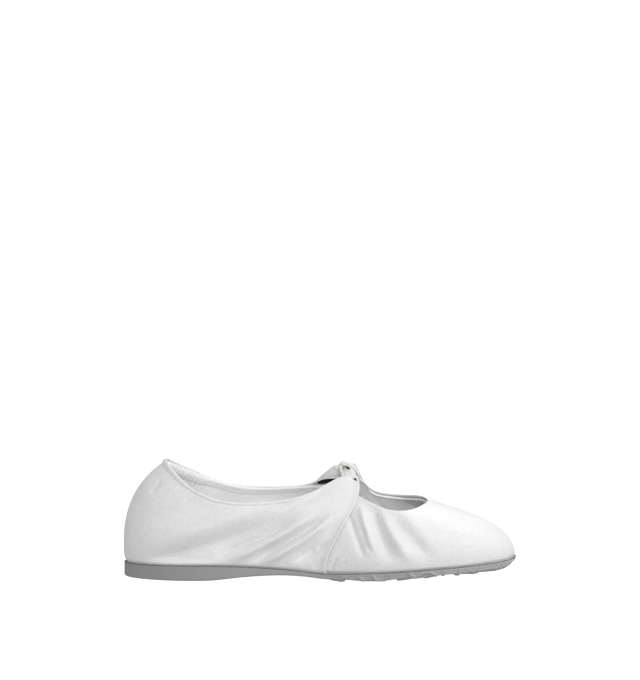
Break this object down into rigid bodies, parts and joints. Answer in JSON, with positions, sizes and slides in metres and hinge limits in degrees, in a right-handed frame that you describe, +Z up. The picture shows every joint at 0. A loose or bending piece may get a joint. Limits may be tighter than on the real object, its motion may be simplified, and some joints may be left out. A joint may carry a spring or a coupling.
{
  "type": "ballet slipper",
  "caption": "Low soft leather ballet slipper with a gathered heel, a knotted instep over an open throat and a ribbed unit sole.",
  "frame": {"origin": "on the floor, under the middle of the whole shoe's bounding box", "axes": "+X from heel to toe, +Y towards the medial side (the wearer's left, this being a right shoe), +Z up"},
  "size_m": [0.249, 0.0812, 0.0738],
  "materials": {
    "outsole": "matte moulded rubber, mid grey",
    "shank": "spring steel strip",
    "filler": "felt filler",
    "insole_board": "fibre insole board",
    "foam": "soft footbed foam",
    "sock_lining": "pale sock leather, smooth",
    "upper_leather": "soft white leather, fine grain, low sheen",
    "stiffener": "fused fibre sheet",
    "lining_leather": "thin white lining leather, matte",
    "vamp_lining": "grey lining, matte",
    "facing": "thin white facing",
    "elastic": "covered elastic cord",
    "thread": "pale polyester thread",
    "loop_leather": "soft cream leather, low sheen"
  },
  "bodies": {
    "root": {"outsole": "outsole", "shank": "shank", "bottom_filler": "filler", "insole_board": "insole_board", "footbed_foam": "foam", "sock_lining": "sock_lining", "quarter": "upper_leather", "heel_counter": "stiffener", "quarter_lining": "lining_leather", "vamp": "upper_leather", "toe_puff": "stiffener", "vamp_lining_lateral": "vamp_lining", "vamp_lining_toe": "vamp_lining", "vamp_lining_medial": "vamp_lining", "topline_facing": "facing", "throat_facing": "facing", "heel_elastic": "elastic", "topline_stitching": "thread", "throat_stitching": "thread", "instep_strap": "upper_leather", "knot_loop": "loop_leather"}
  },
  "joints": []
}
